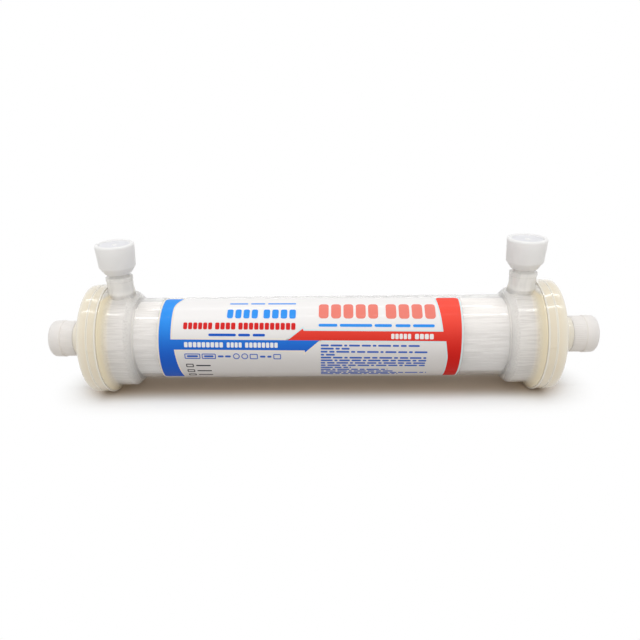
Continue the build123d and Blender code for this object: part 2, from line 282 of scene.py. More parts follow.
class StageSettings(bpy.types.PropertyGroup):
    distance: length("Camera distance", "Distance of the camera from the middle of the tube", 330.4)
    elevation: angle("Camera elevation", "Height of the camera above the tube's level", 23.54)
    azimuth: angle("Camera azimuth", "Turn of the camera's place about the middle", 1.20)
    pitch: angle("Camera pitch", "Downward aim of the camera", 23.77)
    pan: angle("Camera pan", "Sideways aim of the camera", 1.87)
    roll: angle("Camera roll", "Turn about the line of sight", -1.28)
    focal: number("Focal length", "Focal length for a 36 mm frame", 33.44)
    shift_x: number("Shift across", "Sideways shift of the frame", 0.0093)
    shift_y: number("Shift up", "Upward shift of the frame", 0.0288)
    strip_height: length("Strip height", "Height of the two strip lamps above the tube", 1200)
    strip_front: angle("Front strip", "Elevation of the front strip lamp, from level at the front", 80.3)
    strip_back: angle("Back strip", "Elevation of the back strip lamp, from level at the front", 110.5)
    strip_length: length("Strip length", "Length of the strip lamps", 1500)
    strip_width: length("Strip width", "Width of the strip lamps", 75)
    strip_power: power("Strip power", "Power of each strip lamp", 2.3)
    soft_y: length("Soft box place", "How far the large soft lamp stands along Y", -1300)
    soft_z: length("Soft box height", "Height of the large soft lamp", 1500)
    soft_width: length("Soft box width", "Width of the large soft lamp", 2400)
    soft_depth: length("Soft box depth", "Depth of the large soft lamp", 1800)
    soft_power: power("Soft box power", "Power of the large soft lamp", 12.9)
    sky: factor("Sky", "Strength of the even light from all round", 0.55)
    floor: colour("Floor", "Colour of the floor where it is seen", (0.97, 0.97, 0.97))
    floor_bounce: colour("Floor bounce", "Colour of the floor in the light that it throws back",
                         (0.68, 0.65, 0.61))
    # A painted shadow: the floor's colour under the tube, darker and warmer.
    floor_painted_shadow: colour("Floor under the tube", "Colour of the floor in the object's shadow",
                      (0.62, 0.50, 0.39))
    floor_near: length("Floor near", "How far from the tube's line the floor begins to turn white", 8)
    floor_far: length("Floor far", "How far from the tube's line the floor is plain white", 38)
    floor_line: length("Floor line", "Half of the tube's line, along which the floor keeps the shadow", 118)
    floor_half: length("Floor half", "Half of the floor's width", 6000)


GROUPS = {
    "tube": TubeSizes,
    "port": PortSizes,
    "header": HeaderSizes,
    "cap": CapSizes,
    "bundle": BundleSizes,
    "label": LabelSizes,
    "finish": Finishes,
    "stage": StageSettings,
}


def sizes(group):
    """One group of the scene's settings."""
    return getattr(bpy.context.scene, "dialyser_" + group)


def axis_height():
    """Height of the tube's axis above the surface that the header rims rest on."""
    return sizes("header").lip_r


# Shader maths


class Wire:
    """A shader socket whose arithmetic adds Math nodes to its tree."""

    def __init__(self, finish, socket):
        self.finish = finish
        self.socket = socket

    def maths(self, operation, *values):
        """The result of one Math node on these values."""
        node = self.finish.node("ShaderNodeMath", {"operation": operation}, dict(enumerate(values)))
        return Wire(self.finish, node.outputs[0])

    def __add__(self, other):
        return self.maths("ADD", self, other)

    def __sub__(self, other):
        return self.maths("SUBTRACT", self, other)

    def __mul__(self, other):
        return self.maths("MULTIPLY", self, other)

    def __radd__(self, other):
        return self.maths("ADD", other, self)

    def __rsub__(self, other):
        return self.maths("SUBTRACT", other, self)

    def __rmul__(self, other):
        return self.maths("MULTIPLY", other, self)

    def power(self, exponent):
        return self.maths("POWER", self, exponent)

    def size(self):
        return self.maths("ABSOLUTE", self)

    def most(self, other):
        return self.maths("MAXIMUM", self, other)

    def least(self, other):
        return self.maths("MINIMUM", self, other)

    def between(self, low, high):
        """0 below low, 1 above high and a smooth rise between them."""
        settings = {"interpolation_type": "SMOOTHSTEP"}
        inputs = {"Value": self, "From Min": low, "From Max": high}
        node = self.finish.node("ShaderNodeMapRange", settings, inputs)
        return Wire(self.finish, node.outputs[0])

    def near(self, middle, half, soft):
        """1 within half of the middle and 0 beyond a soft edge."""
        return 1 - (self - middle).size().between(half, half + soft)


class Finish:
    """A new material with its Principled shader and the nodes that feed it."""

    def __init__(self, name, constants):
        self.material = bpy.data.materials.new(name)
        self.material.use_nodes = True
        self.tree = self.material.node_tree
        self.shader = self.tree.nodes["Principled BSDF"]
        self.surface = self.shader.outputs[0]
        for socket, value in constants.items():
            self.feed(socket, value)

    def node(self, kind, settings=None, inputs=None):
        """Adds a node: its settings first, then values or links on its sockets."""
        node = self.tree.nodes.new(kind)
        for key, value in (settings or {}).items():
            setattr(node, key, value)
        for socket, value in (inputs or {}).items():
            self.set(node.inputs[socket], value)
        return node

    def set(self, socket, value):
        """Links a wire or an output to a socket, or sets its value."""
        if isinstance(value, Wire):
            self.tree.links.new(value.socket, socket)
        elif isinstance(value, bpy.types.NodeSocket):
            self.tree.links.new(value, socket)
        elif socket.type == "RGBA" and len(value) == 3:
            socket.default_value = (*value, 1)
        else:
            socket.default_value = value

    def feed(self, socket, value):
        """Feeds one input of the Principled shader."""
        self.set(self.shader.inputs[socket], value)

    def rough(self, amount, low, high):
        """Feeds a roughness that goes from low to high."""
        self.feed("Roughness", low + (high - low) * amount)

    def place(self):
        """Object coordinates as one vector, in metres."""
        return self.node("ShaderNodeTexCoord").outputs["Object"]

    def axes(self, vector):
        """The three parts of a vector as wires."""
        split = self.node("ShaderNodeSeparateXYZ", {}, {0: vector})
        return [Wire(self, part) for part in split.outputs]

    def noise(self, vector, scale, detail=2.0, rough=0.5, stretch=(1, 1, 1)):
        """Noise from 0 to 1 over a stretched space."""
        mapping = self.node("ShaderNodeMapping", {}, {"Vector": vector, "Scale": stretch})
        inputs = {"Vector": mapping.outputs[0], "Scale": scale, "Detail": detail, "Roughness": rough}
        node = self.node("ShaderNodeTexNoise", {}, inputs)
        return Wire(self, node.outputs["Fac"])

    def strands(self, vector):
        """Fine streaks along the tube."""
        return self.noise(vector, scale=1300, detail=3.0, rough=0.6, stretch=(0.06, 1, 1))

    def blend(self, amount, low, high):
        """A colour between two others."""
        inputs = {"Factor": amount, 6: low, 7: high}
        return self.node("ShaderNodeMix", {"data_type": "RGBA"}, inputs).outputs[2]

    def bump(self, height, distance, strength):
        """Feeds the normal from a height."""
        inputs = {"Height": height, "Distance": distance, "Strength": strength}
        self.feed("Normal", self.node("ShaderNodeBump", {}, inputs).outputs[0])

    def cover(self, amount, shader):
        """Lays another shader over the surface so far."""
        mix = self.node("ShaderNodeMixShader", {}, {0: amount, 1: self.surface, 2: shader.outputs[0]})
        self.surface = mix.outputs[0]
        self.tree.links.new(self.surface, self.tree.nodes["Material Output"].inputs[0])

    def let_shadow_light_through(self):
        """Light rays on their way to a lamp pass the clear plastic with its tint."""
        rays = self.node("ShaderNodeLightPath")
        tint = self.shader.inputs["Base Color"].default_value
        clear = self.node("ShaderNodeBsdfTransparent", {}, {0: tint})
        self.cover(rays.outputs["Is Shadow Ray"], clear)


def seen_rays(tree):
    """Adds a value of 1 for rays from the camera, off a gloss or through clear plastic, else 0."""
    rays = tree.nodes.new("ShaderNodeLightPath")
    seen = rays.outputs["Is Camera Ray"]
    for name in ("Is Glossy Ray", "Is Transmission Ray"):
        most = tree.nodes.new("ShaderNodeMath")
        most.operation = "MAXIMUM"
        tree.links.new(seen, most.inputs[0])
        tree.links.new(rays.outputs[name], most.inputs[1])
        seen = most.outputs[0]
    return seen


def translucent(weight, depth_mm):
    """Constants of a plastic that light of every colour enters to one depth."""
    return {"Subsurface Weight": weight, "Subsurface Scale": depth_mm * MM, "Subsurface Radius": (1, 1, 1)}


# Finishes


def clear_plastic():
    """Clear polycarbonate with faint flow marks, milky at its ends and cream where resin wets it."""
    colours, tube, bundle = sizes("finish"), sizes("tube"), sizes("bundle")
    finish = Finish("clear_polycarbonate", {
        "Base Color": colours.clear,
        "Transmission Weight": 0.8,
        "IOR": 1.45,
        "Specular IOR Level": 0.5,
    })
    where = finish.place()
    x, _, z = finish.axes(where)
    flow = finish.noise(where, scale=60, stretch=(0.4, 1, 1))
    finish.rough(flow, low=0.01, high=0.03)
    along = x.size()
    resin_edge = bundle.resin_start_x - bundle.creep
    resin_full = bundle.resin_end_x - bundle.wet_margin
    wetted = along.between(resin_edge, resin_full)
    flared = along.between(tube.cone_start_x, tube.cone_end_x)
    raised = (z - axis_height()).between(tube.flare_r, tube.flare_r + tube.flare_wall)
    dry = 1 - wetted * (1 - raised)
    # The milky ends carry the fibres' streaks, with painted shade between the strands.
    streaks = finish.strands(where).between(0.36, 0.58)
    milk = finish.blend((streaks + raised).least(1), colours.strand_gap_shade, colours.haze)
    facets = finish.noise(where, scale=330, detail=1.0, stretch=(1, 1, 0.25)).between(0.4, 0.6)
    cloud = finish.node("ShaderNodeBsdfPrincipled", {}, {
        "Base Color": finish.blend(dry, colours.resin, milk),
        "Roughness": 0.2,
        "Coat Weight": 1.0,
        "Coat Roughness": 0.04,
        **translucent(weight=0.3, depth_mm=3),
    })
    post_haze = (colours.post_haze - colours.end_haze) * (0.75 + 0.25 * facets)
    amount = flared * colours.end_haze + raised * post_haze
    finish.cover(amount * dry + (1 - dry) * colours.wet_haze, cloud)
    finish.let_shadow_light_through()
    return finish.material


def fibre_white():
    """White strands with painted shade in the gaps between them and random tufts, running along the tube in
    waves.
    """
    colours = sizes("finish")
    finish = Finish("white_fibres", {"Roughness": 0.55, "Specular IOR Level": 0.35})
    where = finish.place()
    strands = finish.strands(where)
    tufts = finish.noise(where, scale=430, stretch=(0.1, 1, 1))
    # Low values give painted shade between the strands, mixed with random tufts.
    shade = (strands * 0.65 + tufts * 0.35).between(0.36, 0.6)
    finish.feed("Base Color", finish.blend(shade, colours.strand_gap_shade, colours.fibre))
    finish.bump(strands, distance=0.1 * MM, strength=0.35)
    return finish.material


def cast_resin():
    """Amber resin with soft cloudiness."""
    colours = sizes("finish")
    finish = Finish("amber_resin", translucent(weight=0.25, depth_mm=4))
    cloud = finish.noise(finish.place(), scale=90, detail=3.0)
    finish.feed("Base Color", finish.blend(cloud * 0.5, colours.resin, colours.header_highlight_and_pale))
    finish.rough(cloud, low=0.12, high=0.24)
    return finish.material


def header_cream():
    """Translucent cream moulding, with painted highlights along its lip and its step, and paler on its outer
    band.
    """
    colours, shape = sizes("finish"), sizes("header")
    finish = Finish("cream_header", {
        "Coat Weight": 0.9,
        "Coat Roughness": 0.05,
        **translucent(weight=0.35, depth_mm=4),
    })
    where = finish.place()
    along = finish.axes(where)[0].size()
    half_lip, step_half, soft = shape.lip_width / 2, 0.3 * MM, 0.4 * MM
    lip = along.near(shape.lip_x + half_lip, half_lip, soft)
    step = along.near(shape.step_x, step_half, soft)
    outer = along.between(shape.step_x, shape.rim_x)
    rings = finish.noise(where, scale=700, rough=0.6, stretch=(1, 0.02, 0.02))
    # Painted highlights along the lip and the step, and a paler outer band.
    thin = (lip + step).most(outer * 0.7)
    pale = (thin * 0.8 + rings * 0.35 - 0.1).between(0, 1)
    finish.feed("Base Color", finish.blend(pale, colours.header, colours.header_highlight_and_pale))
    finish.rough(rings, low=0.16, high=0.28)
    return finish.material


def sunk_top_shade(x, y, z):
    """1 on the sunk ring of a side port cap's top, where shade is painted, and 0 elsewhere."""
    cap, port = sizes("cap"), sizes("port")
    across = x.size() - port.port_x
    radius = (across * across + y * y).power(0.5)
    beyond_gate = radius.between(cap.gate_r - 0.2 * MM, cap.gate_r)
    within_rim = 1 - radius.between(cap.port_recess_r - 0.6 * MM, cap.port_recess_r)
    high = (z - axis_height()).between(cap.port_ceiling_z, cap.port_top_z - cap.port_recess)
    return beyond_gate * within_rim * high


def milky_plastic(name, shade):
    """Soft milky polyethylene with a satin skin, greyer with painted shade where a top is sunk."""
    finish = Finish(name, {"Specular IOR Level": 0.4, **translucent(weight=0.5, depth_mm=4)})
    where = finish.place()
    mottle = finish.noise(where, scale=220, detail=3.0)
    grain = finish.noise(where, scale=1800)
    pale = tuple(min(1, part + 0.05) for part in shade)
    skin = finish.blend(mottle, shade, pale)
    # Painted shade greys the sunk top, all but its gate spot.
    sunk = sunk_top_shade(*finish.axes(where))
    finish.feed("Base Color", finish.blend(sunk, skin, sizes("finish").sunk))
    finish.rough(grain, low=0.32, high=0.44)
    finish.bump(grain, distance=0.04 * MM, strength=0.5)
    return finish.material


def seal_rubber():
    """Matt silicone with a fine grain."""
    finish = Finish("silicone_seal", {})
    grain = finish.noise(finish.place(), scale=900)
    base = sizes("finish").seal
    dark = tuple(0.85 * part for part in base)
    finish.feed("Base Color", finish.blend(grain * 0.4, base, dark))
    finish.rough(grain, low=0.5, high=0.7)
    return finish.material


def film(name, low, high, gloss=0.25, curve=1.0):
    """Printed film whose colour lightens from the foot of the tube to its top, with painted shade towards
    the foot.
    """
    finish = Finish(name, {"Coat Weight": gloss, "Coat Roughness": 0.05, "Specular IOR Level": gloss})
    where = finish.place()
    tube_r = sizes("tube").tube_r
    up = finish.axes(where)[2] - axis_height()
    height = up.between(-0.45 * tube_r, 0.95 * tube_r).power(curve)
    ripple = finish.noise(where, scale=160, stretch=(0.3, 1, 1))
    finish.feed("Base Color", finish.blend(height, low, high))
    finish.rough(ripple, low=0.32, high=0.42)
    finish.bump(ripple, distance=0.08 * MM, strength=0.35)
    return finish.material


def ink(name, shade):
    """Film printed in one colour, a little darker towards the foot as painted shade."""
    foot_shade = tuple(0.92 * part for part in shade)
    return film(name, foot_shade, shade, INK_GLOSS)


def arrow_ink(name, low, high):
    """Ink of an arrow, whose lighter colour comes in late towards the top; its darker foot is partly painted
    shade.
    """
    return film(name, low, high, INK_GLOSS, ARROW_CURVE)


# Mesh helpers


def finished(name, bm, material, body=BODY, sharp=SHARP_EDGE):
    """Makes the object of a finished mesh, smooth but for its sharp edges, riding on a body."""
    mesh = bpy.data.meshes.new(name)
    bm.to_mesh(mesh)
    bm.free()
    mesh.materials.append(material)
    mesh.polygons.foreach_set("use_smooth", [True] * len(mesh.polygons))
    mesh.set_sharp_from_angle(angle=sharp)
    piece = bpy.data.objects.new(name, mesh)
    bpy.context.scene.collection.objects.link(piece)
    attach(piece, body)
    return piece


def rounded(points, turns=5):
    """Outline points with each corner that has a radius rounded by an arc."""
    outline = []
    total = len(points)
    for i, (along, across, radius) in enumerate(points):
        corner = Vector((along, across))
        if radius == 0:
            outline.append(corner)
            continue
        before = (Vector(points[i - 1][:2]) - corner).normalized()
        after = (Vector(points[(i + 1) % total][:2]) - corner).normalized()
        half = before.angle(after) / 2
        centre = corner + (before + after).normalized() * radius / math.sin(half)
        start = corner + before * radius / math.tan(half)
        spoke = start - centre
        sweep = (math.pi - 2 * half) * (1 if before.cross(after) < 0 else -1)
        for k in range(turns + 1):
            outline.append(centre + Matrix.Rotation(sweep * k / turns, 2) @ spoke)
    return outline


def turned(bm, section, direction, steps):
    """Spins a section once round an axis through the origin."""
    bmesh.ops.spin(bm, geom=section, cent=(0, 0, 0), axis=direction, angle=2 * math.pi, steps=steps,
                   use_merge=True)


def lathe(points, steps, axis="X"):
    """Closed solid turned about an axis from an outline of (along, radius, rounding) points."""
    bm = bmesh.new()
    outline = rounded(points)
    if axis == "X":
        verts = [bm.verts.new((p.x, -p.y, 0)) for p in outline]
    else:
        verts = [bm.verts.new((p.y, 0, p.x)) for p in outline]
    clear_of_axis = all(radius > 0 for _, radius, _ in points)
    edges = [bm.edges.new(pair) for pair in zip(verts, verts[1:])]
    if clear_of_axis:
        edges.append(bm.edges.new((verts[-1], verts[0])))
    direction = (1, 0, 0) if axis == "X" else (0, 0, 1)
    turned(bm, verts + edges, direction, steps)
    bmesh.ops.remove_doubles(bm, verts=bm.verts, dist=1e-6)
    bmesh.ops.recalc_face_normals(bm, faces=bm.faces)
    return bm


def moved(bm, matrix):
    """The same mesh after a transform, turned the right way out again."""
    bmesh.ops.transform(bm, matrix=matrix, verts=bm.verts)
    if matrix.determinant() < 0:
        bmesh.ops.reverse_faces(bm, faces=bm.faces)
    return bm


def end_place(sign):
    """Lifts a right-hand end to the tube's axis, mirrored for the left-hand end."""
    return Matrix.Translation((0, 0, axis_height())) @ Matrix.Diagonal((sign, 1, 1, 1))


def joined(first, second, operation):
    """Union or difference of two closed meshes."""
    pair = []
    for bm in (first, second):
        mesh = bpy.data.meshes.new("part")
        bm.to_mesh(mesh)
        bm.free()
        piece = bpy.data.objects.new("part", mesh)
        bpy.context.scene.collection.objects.link(piece)
        pair.append(piece)
    modifier = pair[0].modifiers.new("cut", "BOOLEAN")
    modifier.operation = operation
    modifier.solver = "EXACT"
    modifier.object = pair[1]
    depsgraph = bpy.context.evaluated_depsgraph_get()
    result = bmesh.new()
    result.from_object(pair[0], depsgraph)
    for piece in pair:
        mesh = piece.data
        bpy.data.objects.remove(piece)
        bpy.data.meshes.remove(mesh)
    return result


# Pieces


def rod(half_length, radius):
    """Outline of a plain rod about the middle."""
    return [(-half_length, 0, 0), (-half_length, radius, 0), (half_length, radius, 0), (half_length, 0, 0)]


def mirrored(points):
    """The same stretch of an outline on the other side of the middle."""
    return [(-along, radius, rounding) for along, radius, rounding in reversed(points)]


def nipple_outline(port):
    """A side port without its bore, up from inside the wall."""
    tip_z = port.groove_high_z + port.tip_chamfer
    top_z = tip_z + port.tip_length + port.tip_chamfer
    return [
        (port.root_z, 0, 0),
        (port.root_z, port.base_r + 0.6 * MM, 0),
        (port.base_z, port.base_r, 0),
        (port.neck_z, port.neck_r, 3.0 * MM),
        (port.bead_z - 0.2 * MM, port.neck_r, 0),
        (port.bead_z, port.bead_r, 0),
        (port.bead_top_z, port.bead_r, 0.25 * MM),
        (port.groove_low_z, port.groove_r, 0.2 * MM),
        (port.groove_high_z, port.groove_r, 0.2 * MM),
        (tip_z, port.tip_r, 0),
        (tip_z + port.tip_length, port.tip_r, 0.3 * MM),
        (top_z, port.tip_r - port.tip_chamfer, 0.2 * MM),
        (top_z, 0, 0),
    ]


def bore_outline(port, tube):
    """The way through a side port, from inside the flared end to past the tip."""
    top_z = port.groove_high_z + 2 * port.tip_chamfer + port.tip_length + 1 * MM
    inside_z = tube.flare_r - tube.flare_wall - 3 * MM
    return [(inside_z, 0, 0), (inside_z, port.bore_r, 0), (top_z, port.bore_r, 0), (top_z, 0, 0)]


class DIALYSER_OT_housing(bpy.types.Operator):
    """Build the clear housing: tube, flared ends, flanges, inner collars and side ports"""

    bl_idname = "dialyser.housing"
    bl_label = "Housing"

    def execute(self, context):
        tube, port = sizes("tube"), sizes("port")
        half_outside = [
            (tube.cone_start_x, tube.tube_r, 1.5 * MM),
            (tube.cone_end_x, tube.flare_r, 1.5 * MM),
            (tube.flange_start_x, tube.flare_r, 2.2 * MM),
            (tube.flange_face_x - 0.7 * MM, tube.flange_r, 0.5 * MM),
            (tube.flange_face_x, tube.flange_r, 0),
            (tube.flange_face_x, tube.spigot_r, 0),
            (tube.end_x, tube.spigot_r, 0.3 * MM),
        ]
        bore_r = tube.tube_r - tube.tube_wall
        flare_bore_r = tube.flare_r - tube.flare_wall
        collar_r = bore_r + tube.collar_wall
        half_inside = [
            (tube.end_x, flare_bore_r, 0.3 * MM),
            (tube.cone_end_x + 0.4 * MM, flare_bore_r, 1.0 * MM),
            (tube.cone_start_x + 1.2 * MM, collar_r, 0.3 * MM),
            (tube.collar_end_x, collar_r, 0.3 * MM),
            (tube.collar_end_x, bore_r, 0.3 * MM),
        ]
        outline = half_outside + half_inside + mirrored(half_inside) + mirrored(half_outside)
        body = lathe(outline, tube.steps)
        wall_middle = rod(tube.end_x, tube.flare_r - tube.flare_wall / 2)
        for sign in SIDES.values():
            place = Matrix.Translation((sign * port.port_x, 0, 0))
            post = moved(lathe(nipple_outline(port), port.steps, "Z"), place)
            # The post is cut back to the middle of the wall before it joins the body.
            post = joined(post, lathe(wall_middle, tube.steps), "DIFFERENCE")
            body = joined(body, post, "UNION")
            bore = moved(lathe(bore_outline(port, tube), port.steps, "Z"), place)
            body = joined(body, bore, "DIFFERENCE")
        moved(body, Matrix.Translation((0, 0, axis_height())))
        piece = finished("clear_housing", body, clear_plastic())
        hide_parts("housing")
        return {"FINISHED"}


# Scale along the tube, scale round it and offset of the noise that shapes the strands.
WANDER = (28, 1.5, 0)
STRANDS = (9, 26, 0)
FINE_STRANDS = (16, 70, 7)

# How deep the surface lies under the highest strands, and how far coarse and fine strands
# reach up from there, as parts of the strand rise.
MEAN_DEPTH = 0.9
COARSE_REACH = 0.9
FINE_REACH = 0.5


def round_noise(x, turn, pattern):
    """Noise over the bundle's surface, without a seam."""
    along, around, offset = pattern
    return noise.noise((x * along + offset, math.cos(turn) * around, math.sin(turn) * around))


class DIALYSER_OT_fibres(bpy.types.Operator):
    """Build the packed fibres with wavy strands"""

    bl_idname = "dialyser.fibres"
    bl_label = "Fibre bundle"

    def execute(self, context):
        bundle = sizes("bundle")
        bm = lathe(rod(bundle.resin_end_x, bundle.bundle_r), bundle.around)
        long_edges = [e for e in bm.edges if abs(e.verts[0].co.x - e.verts[1].co.x) > bundle.resin_end_x]
        bmesh.ops.subdivide_edges(bm, edges=long_edges, cuts=bundle.along, use_grid_fill=True)
        spread_start = sizes("tube").collar_end_x
        for vert in bm.verts:
            x, y, z = vert.co
            radius = math.hypot(y, z)
            # The middle points of the two flat ends stay where they are.
            if radius < bundle.bundle_r / 2:
                continue
            turn = math.atan2(z, y)
            wander = bundle.waviness / radius * round_noise(x, turn, WANDER)
            spread = (abs(x) - spread_start) / (bundle.resin_start_x - spread_start)
            spread = max(0.0, min(1.0, spread))
            held = bundle.bundle_r + (bundle.bundle_end_r - bundle.bundle_r) * spread
            coarse = round_noise(x, turn + wander, STRANDS)
            fine = round_noise(x, turn + wander, FINE_STRANDS)
            depth = MEAN_DEPTH - COARSE_REACH * coarse - FINE_REACH * fine
            radius = min(held, held - bundle.strand_rise * depth)
            vert.co = (x, radius * math.cos(turn), radius * math.sin(turn))
        moved(bm, Matrix.Translation((0, 0, axis_height())))
        piece = finished("wavy_fibres", bm, fibre_white(), sharp=SHARP_STRAND)
        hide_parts("fibre_bundle")
        return {"FINISHED"}


class DIALYSER_OT_ends(bpy.types.Operator):
    """Build the cast resin and seal ring of each end"""

    bl_idname = "dialyser.ends"
    bl_label = "Resin and seals"

    def execute(self, context):
        bundle, tube = sizes("bundle"), sizes("tube")
        resin, rubber = cast_resin(), seal_rubber()
        inner = bundle.bundle_end_r - 0.2 * MM
        outer = tube.flare_r - tube.flare_wall + bundle.wetting
        outline = [(bundle.resin_start_x, inner, 0), (bundle.resin_start_x, outer, 0.4 * MM),
                   (bundle.resin_end_x, outer, 0.2 * MM), (bundle.resin_end_x, inner, 0)]
        seal_x = (tube.end_x + sizes("header").seat_x) / 2
        for side, sign in SIDES.items():
            piece = finished("resin_" + side, moved(lathe(outline, tube.steps), end_place(sign)), resin)
            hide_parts("resin_disc_" + side)
            bm = bmesh.new()
            bmesh.ops.create_circle(bm, segments=bundle.seal_steps, radius=bundle.seal_section_r)
            bmesh.ops.translate(bm, vec=(seal_x, -bundle.seal_r, 0), verts=bm.verts)
            turned(bm, bm.verts[:] + bm.edges[:], (1, 0, 0), tube.steps)
            bmesh.ops.recalc_face_normals(bm, faces=bm.faces)
            ring = finished("seal_" + side, moved(bm, end_place(sign)), rubber)
            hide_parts("seal_ring_" + side)
        return {"FINISHED"}


class DIALYSER_OT_headers(bpy.types.Operator):
    """Build the two cream headers with their blood ports"""

    bl_idname = "dialyser.headers"
    bl_label = "Headers"

    def outline(self, h):
        """Section of a header, from its skirt over the dome to the barrel and back through its bore."""
        nozzle_end = h.socket_x + h.nozzle_length
        return [
            (h.lip_x, h.skirt_bore_r, 0),
            (h.lip_x, h.lip_r, 0.25 * MM),
            (h.lip_x + h.lip_width, h.lip_r, 0.25 * MM),
            (h.lip_x + h.lip_width, h.band_r, 0.1 * MM),
            (h.step_x, h.band_r, 0.1 * MM),
            (h.step_x, h.step_r, 0.15 * MM),
            (h.rim_x, h.step_r - 0.1 * MM, h.edge_r),
            (h.rim_x + 0.9 * MM, h.face_r, 1.0 * MM),
            (h.dome_end_x, h.boss_r + 1.0 * MM, 2.0 * MM),
            (h.dome_end_x + 1.2 * MM, h.boss_r, 0.8 * MM),
            (h.boss_end_x, h.boss_r, 0.3 * MM),
            (h.boss_end_x, h.barrel_r, 0.2 * MM),
            (h.barrel_end_x, h.barrel_r, 0.4 * MM),
            (h.barrel_end_x, h.barrel_bore_r, 0.3 * MM),
            (h.socket_x, h.barrel_bore_r, 0.4 * MM),
            (h.socket_x, h.nozzle_r, 0.3 * MM),
            (nozzle_end, h.nozzle_r, 0),
            (nozzle_end + 0.4 * MM, h.nozzle_r - 0.4 * MM, 0),
            (nozzle_end + 0.4 * MM, h.blood_bore_r, 0),
            (h.dome_end_x - 0.6 * MM, h.blood_bore_r, 1.0 * MM),
            (h.rim_x - 2.2 * MM, h.chamber_r, 1.5 * MM),
            (h.seat_lip_x, h.chamber_r, 0.2 * MM),
            (h.seat_lip_x, h.seat_lip_r, 0.2 * MM),
            (h.seat_x, h.seat_lip_r, 0),
            (h.seat_x, h.skirt_bore_r, 0),
        ]

    def mark(self, h, turn):
        """Small raised mark across the first band."""
        bm = bmesh.new()
        bmesh.ops.create_cube(bm, size=1)
        start = h.lip_x + h.lip_width
        width = h.step_x - start
        bmesh.ops.scale(bm, vec=(width, h.tab_depth, h.tab_width), verts=bm.verts)
        bmesh.ops.bevel(bm, geom=bm.edges[:], offset=h.tab_edge, offset_type="OFFSET", segments=2,
                        profile=0.5, affect="EDGES", material=-1)
        middle_r = h.band_r + (h.tab_rise - h.tab_depth) / 2
        bmesh.ops.translate(bm, vec=(start + width / 2, middle_r, 0), verts=bm.verts)
        bmesh.ops.rotate(bm, cent=(0, 0, 0), matrix=Matrix.Rotation(turn, 3, "X"), verts=bm.verts)
        return bm

    def execute(self, context):
        h = sizes("header")
        cream = header_cream()
        for side, sign in SIDES.items():
            body = lathe(self.outline(h), h.steps)
            for turn in (math.pi - h.tab_angle, 2 * math.pi - h.tab_angle):
                body = joined(body, self.mark(h, turn), "UNION")
            piece = finished("cream_header_" + side, moved(body, end_place(sign)), cream)
            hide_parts("header_" + side)
        return {"FINISHED"}


# Facets round a blood port cap for each of its grip ribs.
STEPS_PER_RIB = 4


class DIALYSER_OT_blood_caps(bpy.types.Operator):
    """Build the two blood port caps with fine grip ribs"""

    bl_idname = "dialyser.blood_caps"
    bl_label = "Blood port caps"

    def execute(self, context):
        cap, h = sizes("cap"), sizes("header")
        bore_r = h.barrel_r + cap.blood_gap
        open_x = h.boss_end_x + cap.blood_seat_gap
        outline = [
            (open_x, bore_r, 0),
            (open_x, cap.blood_r, 0.3 * MM),
            (cap.blood_bead_x, cap.blood_r, 0.2 * MM),
            (cap.blood_bead_x + 0.5 * MM, cap.blood_bead_r, 0.3 * MM),
            (cap.blood_end_x, cap.blood_bead_r - 0.2 * MM, cap.blood_edge),
            (cap.blood_end_x, 0, 0),
            (cap.blood_ceiling_x, 0, 0),
            (cap.blood_ceiling_x, bore_r, 0.4 * MM),
        ]
        plastic = milky_plastic("rosy_polyethylene", sizes("finish").rosy)
        for side, sign in SIDES.items():
            bm = lathe_cap(outline, cap.rib_count * STEPS_PER_RIB)
            low, high = open_x + cap.rib_start, cap.blood_bead_x - cap.rib_end
            for vert in bm.verts:
                radius = math.hypot(vert.co.y, vert.co.z)
                if low < vert.co.x < high and radius > (bore_r + cap.blood_r) / 2:
                    turn = math.atan2(vert.co.z, vert.co.y) * cap.rib_count
                    ribbed = radius + cap.rib_rise * max(0.0, math.cos(turn))
                    vert.co.y *= ribbed / radius
                    vert.co.z *= ribbed / radius
            name = "blood_port_cap_" + side
            piece = finished("blood_cap_" + side, moved(bm, end_place(sign)), plastic, name)
            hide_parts(name)
        return {"FINISHED"}


def lathe_cap(outline, steps):
    """A turned cap with two extra rings near each end of its ribbed skirt."""
    points = list(outline)
    (low_x, low_r, _), (high_x, high_r, _) = points[1], points[2]
    rings = [(low_x + step * MM, low_r, 0) for step in (0.6, 0.9)]
    rings += [(high_x - step * MM, high_r, 0) for step in (0.6, 0.3)]
    points[2:2] = rings
    return lathe(points, steps)


class DIALYSER_OT_port_caps(bpy.types.Operator):
    """Build the two side port caps"""

    bl_idname = "dialyser.port_caps"
    bl_label = "Side port caps"

    def execute(self, context):
        cap, port = sizes("cap"), sizes("port")
        recess_z = cap.port_top_z - cap.port_recess
        outline = [
            (cap.port_bottom_z, cap.port_mouth_r, 0),
            (cap.port_bottom_z, cap.port_bottom_r, 0.15 * MM),
            (cap.port_shoulder_z, cap.port_shoulder_r, 0.6 * MM),
            (cap.port_top_z, cap.port_top_r, 0.9 * MM),
            (cap.port_top_z, cap.port_recess_r, 0.3 * MM),
            (recess_z, cap.port_recess_r - 0.3 * MM, 0.3 * MM),
            (recess_z, cap.gate_r, 0.1 * MM),
            (recess_z + cap.gate_rise, cap.gate_r - 0.4 * MM, 0.15 * MM),
            (recess_z + cap.gate_rise, 0, 0),
            (cap.port_ceiling_z, 0, 0),
            (cap.port_ceiling_z, cap.port_bore_r, 0.6 * MM),
            (cap.port_mouth_z + 0.5 * MM, cap.port_bore_r, 0.2 * MM),
            (cap.port_mouth_z, cap.port_mouth_r, 0.1 * MM),
        ]
        plastic = milky_plastic("milky_polyethylene", sizes("finish").milky)
        for side, sign in SIDES.items():
            bm = lathe(outline, cap.steps, "Z")
            moved(bm, Matrix.Translation((sign * port.port_x, 0, axis_height())))
            name = "dialysate_port_cap_" + side
            piece = finished("port_cap_" + side, bm, plastic, name)
            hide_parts(name)
        return {"FINISHED"}


